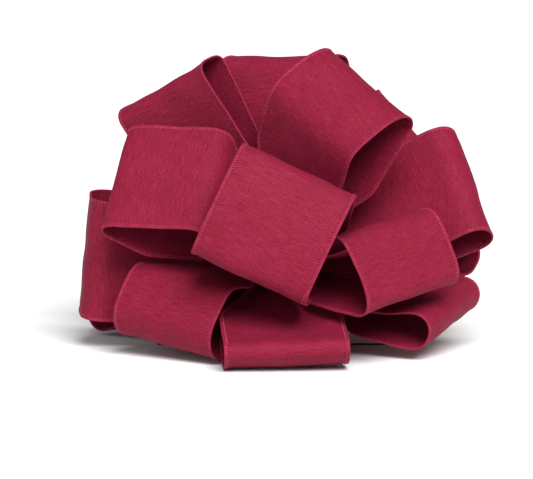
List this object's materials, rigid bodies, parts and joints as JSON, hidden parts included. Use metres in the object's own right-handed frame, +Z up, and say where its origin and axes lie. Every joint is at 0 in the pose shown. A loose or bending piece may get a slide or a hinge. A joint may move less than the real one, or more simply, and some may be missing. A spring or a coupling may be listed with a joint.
{
  "type": "gift bow",
  "caption": "Gift bow of wide wired-edge ribbon: loops fluffed out in every direction from a pinched, wire-bound waist, with a twist tie underneath.",
  "frame": {"origin": "on the surface that the bow stands on, straight below the middle of its pinched waist", "axes": "+Z up, -Y towards the bow's front, +X to the right seen from the front"},
  "size_m": [0.216, 0.232, 0.1577],
  "materials": {
    "ribbon_fabric": "burgundy slubbed taffeta with a soft sheen",
    "hem_fabric": "the same ribbon folded over and stitched",
    "edge_wire": "fine bare steel wire",
    "binding_wire": "soft florist's wire",
    "twist_tie": "burgundy plastic-coated twist tie"
  },
  "bodies": {
    "waist": {"gathered_waist": "ribbon_fabric", "binding_wire": "binding_wire", "tie_foot": "twist_tie", "tie_stem": "twist_tie"},
    "front_centre": {"front_centre_ribbon": "ribbon_fabric", "front_centre_hems": "hem_fabric", "front_centre_edge_wires": "edge_wire"},
    "left_front": {"left_front_ribbon": "ribbon_fabric", "left_front_hems": "hem_fabric", "left_front_edge_wires": "edge_wire"},
    "upper_left": {"upper_left_ribbon": "ribbon_fabric", "upper_left_hems": "hem_fabric", "upper_left_edge_wires": "edge_wire"},
    "top_back": {"top_back_ribbon": "ribbon_fabric", "top_back_hems": "hem_fabric", "top_back_edge_wires": "edge_wire"},
    "top_right": {"top_right_ribbon": "ribbon_fabric", "top_right_hems": "hem_fabric", "top_right_edge_wires": "edge_wire"},
    "right": {"right_ribbon": "ribbon_fabric", "right_hems": "hem_fabric", "right_edge_wires": "edge_wire"},
    "front_right": {"front_right_ribbon": "ribbon_fabric", "front_right_hems": "hem_fabric", "front_right_edge_wires": "edge_wire"},
    "right_low": {"right_low_ribbon": "ribbon_fabric", "right_low_hems": "hem_fabric", "right_low_edge_wires": "edge_wire"},
    "front_low": {"front_low_ribbon": "ribbon_fabric", "front_low_hems": "hem_fabric", "front_low_edge_wires": "edge_wire"},
    "front_left_low": {"front_left_low_ribbon": "ribbon_fabric", "front_left_low_hems": "hem_fabric", "front_left_low_edge_wires": "edge_wire"},
    "left_low": {"left_low_ribbon": "ribbon_fabric", "left_low_hems": "hem_fabric", "left_low_edge_wires": "edge_wire"},
    "back_high": {"back_high_ribbon": "ribbon_fabric", "back_high_hems": "hem_fabric", "back_high_edge_wires": "edge_wire"},
    "back_left": {"back_left_ribbon": "ribbon_fabric", "back_left_hems": "hem_fabric", "back_left_edge_wires": "edge_wire"},
    "back_right": {"back_right_ribbon": "ribbon_fabric", "back_right_hems": "hem_fabric", "back_right_edge_wires": "edge_wire"},
    "back_low": {"back_low_ribbon": "ribbon_fabric", "back_low_hems": "hem_fabric", "back_low_edge_wires": "edge_wire"},
    "back_left_low": {"back_left_low_ribbon": "ribbon_fabric", "back_left_low_hems": "hem_fabric", "back_left_low_edge_wires": "edge_wire"},
    "right_back_low": {"right_back_low_ribbon": "ribbon_fabric", "right_back_low_hems": "hem_fabric", "right_back_low_edge_wires": "edge_wire"},
    "tie_leg_right": {"tie_leg_right": "twist_tie"},
    "tie_leg_left": {"tie_leg_left": "twist_tie"}
  },
  "joints": [
    {"name": "front_centre_fluff", "type": "hinge", "parent": "waist", "child": "front_centre", "pos_m": [0, 0, 0.04], "axis": [0.8988, -0.1355, -0.4169], "range_deg": [-0.5, 3]},
    {"name": "left_front_fluff", "type": "hinge", "parent": "waist", "child": "left_front", "pos_m": [0, 0, 0.04], "axis": [-0.1925, -0.6205, -0.7602], "range_deg": [-5.5, 2]},
    {"name": "upper_left_fluff", "type": "hinge", "parent": "waist", "child": "upper_left", "pos_m": [0, 0, 0.04], "axis": [0.6893, -0.5623, 0.4568], "range_deg": [-2, 3.5]},
    {"name": "top_back_fluff", "type": "hinge", "parent": "waist", "child": "top_back", "pos_m": [0, 0, 0.04], "axis": [-0.9348, 0.3524, -0.0431], "range_deg": [-1.5, 1]},
    {"name": "top_right_fluff", "type": "hinge", "parent": "waist", "child": "top_right", "pos_m": [0, 0, 0.04], "axis": [0.6481, -0.5636, -0.5122], "range_deg": [-2, 3.5]},
    {"name": "right_fluff", "type": "hinge", "parent": "waist", "child": "right", "pos_m": [0, 0, 0.04], "axis": [-0.2887, 0.5392, 0.7912], "range_deg": [-4, 3.5]},
    {"name": "front_right_fluff", "type": "hinge", "parent": "waist", "child": "front_right", "pos_m": [0, 0, 0.04], "axis": [0.7501, 0.6385, 0.172], "range_deg": [-1.5, 1.5]},
    {"name": "right_low_fluff", "type": "hinge", "parent": "waist", "child": "right_low", "pos_m": [0, 0, 0.04], "axis": [0.4308, 0.8789, 0.2048], "range_deg": [-2, 3]},
    {"name": "front_low_fluff", "type": "hinge", "parent": "waist", "child": "front_low", "pos_m": [0, 0, 0.04], "axis": [0.9977, 0.059, 0.0332], "range_deg": [-1.5, 0]},
    {"name": "front_left_low_fluff", "type": "hinge", "parent": "waist", "child": "front_left_low", "pos_m": [0, 0, 0.04], "axis": [0.7848, -0.6044, -0.1371], "range_deg": [-1, 0]},
    {"name": "left_low_fluff", "type": "hinge", "parent": "waist", "child": "left_low", "pos_m": [0, 0, 0.04], "axis": [-0.0955, 0.0966, -0.9907], "range_deg": [-3, 4]},
    {"name": "back_high_fluff", "type": "hinge", "parent": "waist", "child": "back_high", "pos_m": [0, 0, 0.04], "axis": [-0.7593, -0.3057, 0.5745], "range_deg": [-3.5, 4]},
    {"name": "back_left_fluff", "type": "hinge", "parent": "waist", "child": "back_left", "pos_m": [0, 0, 0.04], "axis": [-0.6058, -0.1093, -0.7881], "range_deg": [-5.5, 4.5]},
    {"name": "back_right_fluff", "type": "hinge", "parent": "waist", "child": "back_right", "pos_m": [0, 0, 0.04], "axis": [-0.6462, -0.009, 0.7631], "range_deg": [-2, 4]},
    {"name": "back_low_fluff", "type": "hinge", "parent": "waist", "child": "back_low", "pos_m": [0, 0, 0.04], "axis": [-0.9884, 0.1104, -0.104], "range_deg": [-3, 2.5]},
    {"name": "back_left_low_fluff", "type": "hinge", "parent": "waist", "child": "back_left_low", "pos_m": [0, 0, 0.04], "axis": [-0.6726, -0.7398, 0.0168], "range_deg": [-2.5, 0]},
    {"name": "right_back_low_fluff", "type": "hinge", "parent": "waist", "child": "right_back_low", "pos_m": [0, 0, 0.04], "axis": [-0.4562, 0.8, -0.3898], "range_deg": [-2, 2]},
    {"name": "tie_leg_right_bend", "type": "hinge", "parent": "waist", "child": "tie_leg_right", "pos_m": [0.012, 0, 0.0004], "axis": [0, 1, 0], "range_deg": [0, 90]},
    {"name": "tie_leg_left_bend", "type": "hinge", "parent": "waist", "child": "tie_leg_left", "pos_m": [-0.012, 0, 0.0004], "axis": [0, -1, 0], "range_deg": [0, 90]}
  ]
}
